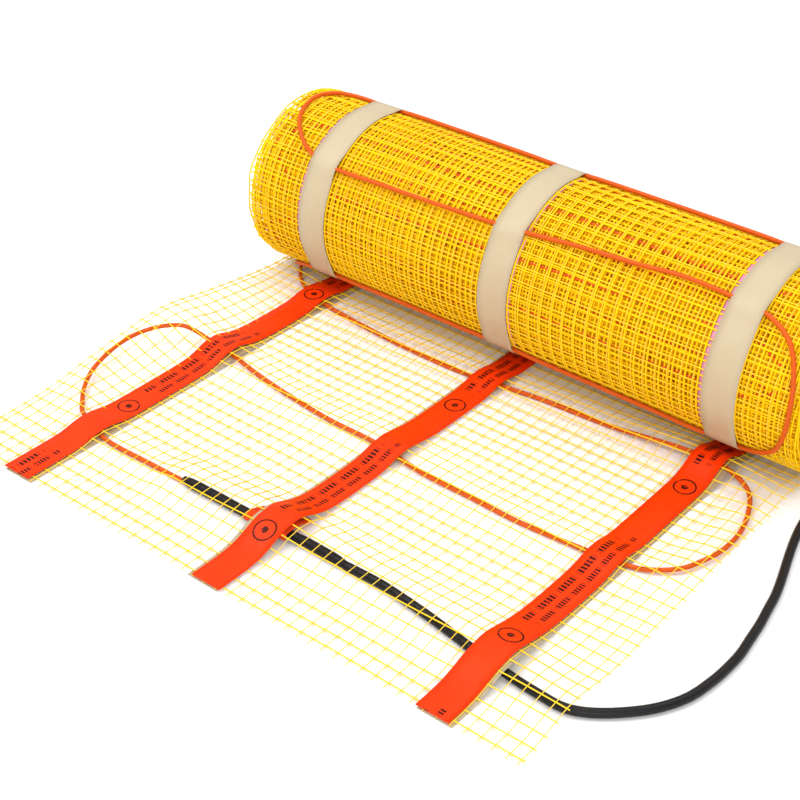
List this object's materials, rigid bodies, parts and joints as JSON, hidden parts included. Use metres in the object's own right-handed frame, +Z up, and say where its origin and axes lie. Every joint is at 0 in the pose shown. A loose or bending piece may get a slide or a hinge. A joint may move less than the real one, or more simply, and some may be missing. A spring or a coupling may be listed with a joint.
{
  "type": "underfloor heating mat",
  "caption": "Electric underfloor heating mat: heating cable taped to glass-fibre mesh, partly unrolled as a flat tail from its roll, with a black joint sleeve and cold lead.",
  "frame": {"origin": "centre of the bottom of the mat's own box, on the floor, measured without the free cold lead and its coil", "axes": "+Z up from the floor, +Y along the mat from the cut front edge to the roll, +X across the mat along the roll's axis"},
  "size_m": [0.6263, 0.4602, 0.151],
  "materials": {
    "glass_mesh": "yellow coated glass-fibre mesh",
    "roll_mesh": "turns of yellow glass-fibre mesh with orange cable between them",
    "orange_tape": "smooth orange-red adhesive tape",
    "release_liner": "smooth cream release paper",
    "heating_cable": "smooth orange-red cable jacket",
    "joint_sleeve": "black heat-shrink sleeve",
    "cold_lead": "black cable jacket"
  },
  "bodies": {
    "root": {"mesh_tail": "glass_mesh", "mat_roll": "roll_mesh", "tape_left": "orange_tape", "tape_middle": "orange_tape", "tape_right": "orange_tape", "liner_left": "release_liner", "liner_middle": "release_liner", "liner_right": "release_liner", "heating_cable": "heating_cable", "joint_sleeve": "joint_sleeve", "joint_tape": "orange_tape", "cold_lead": "cold_lead", "cold_lead_coil": "cold_lead"}
  },
  "joints": []
}
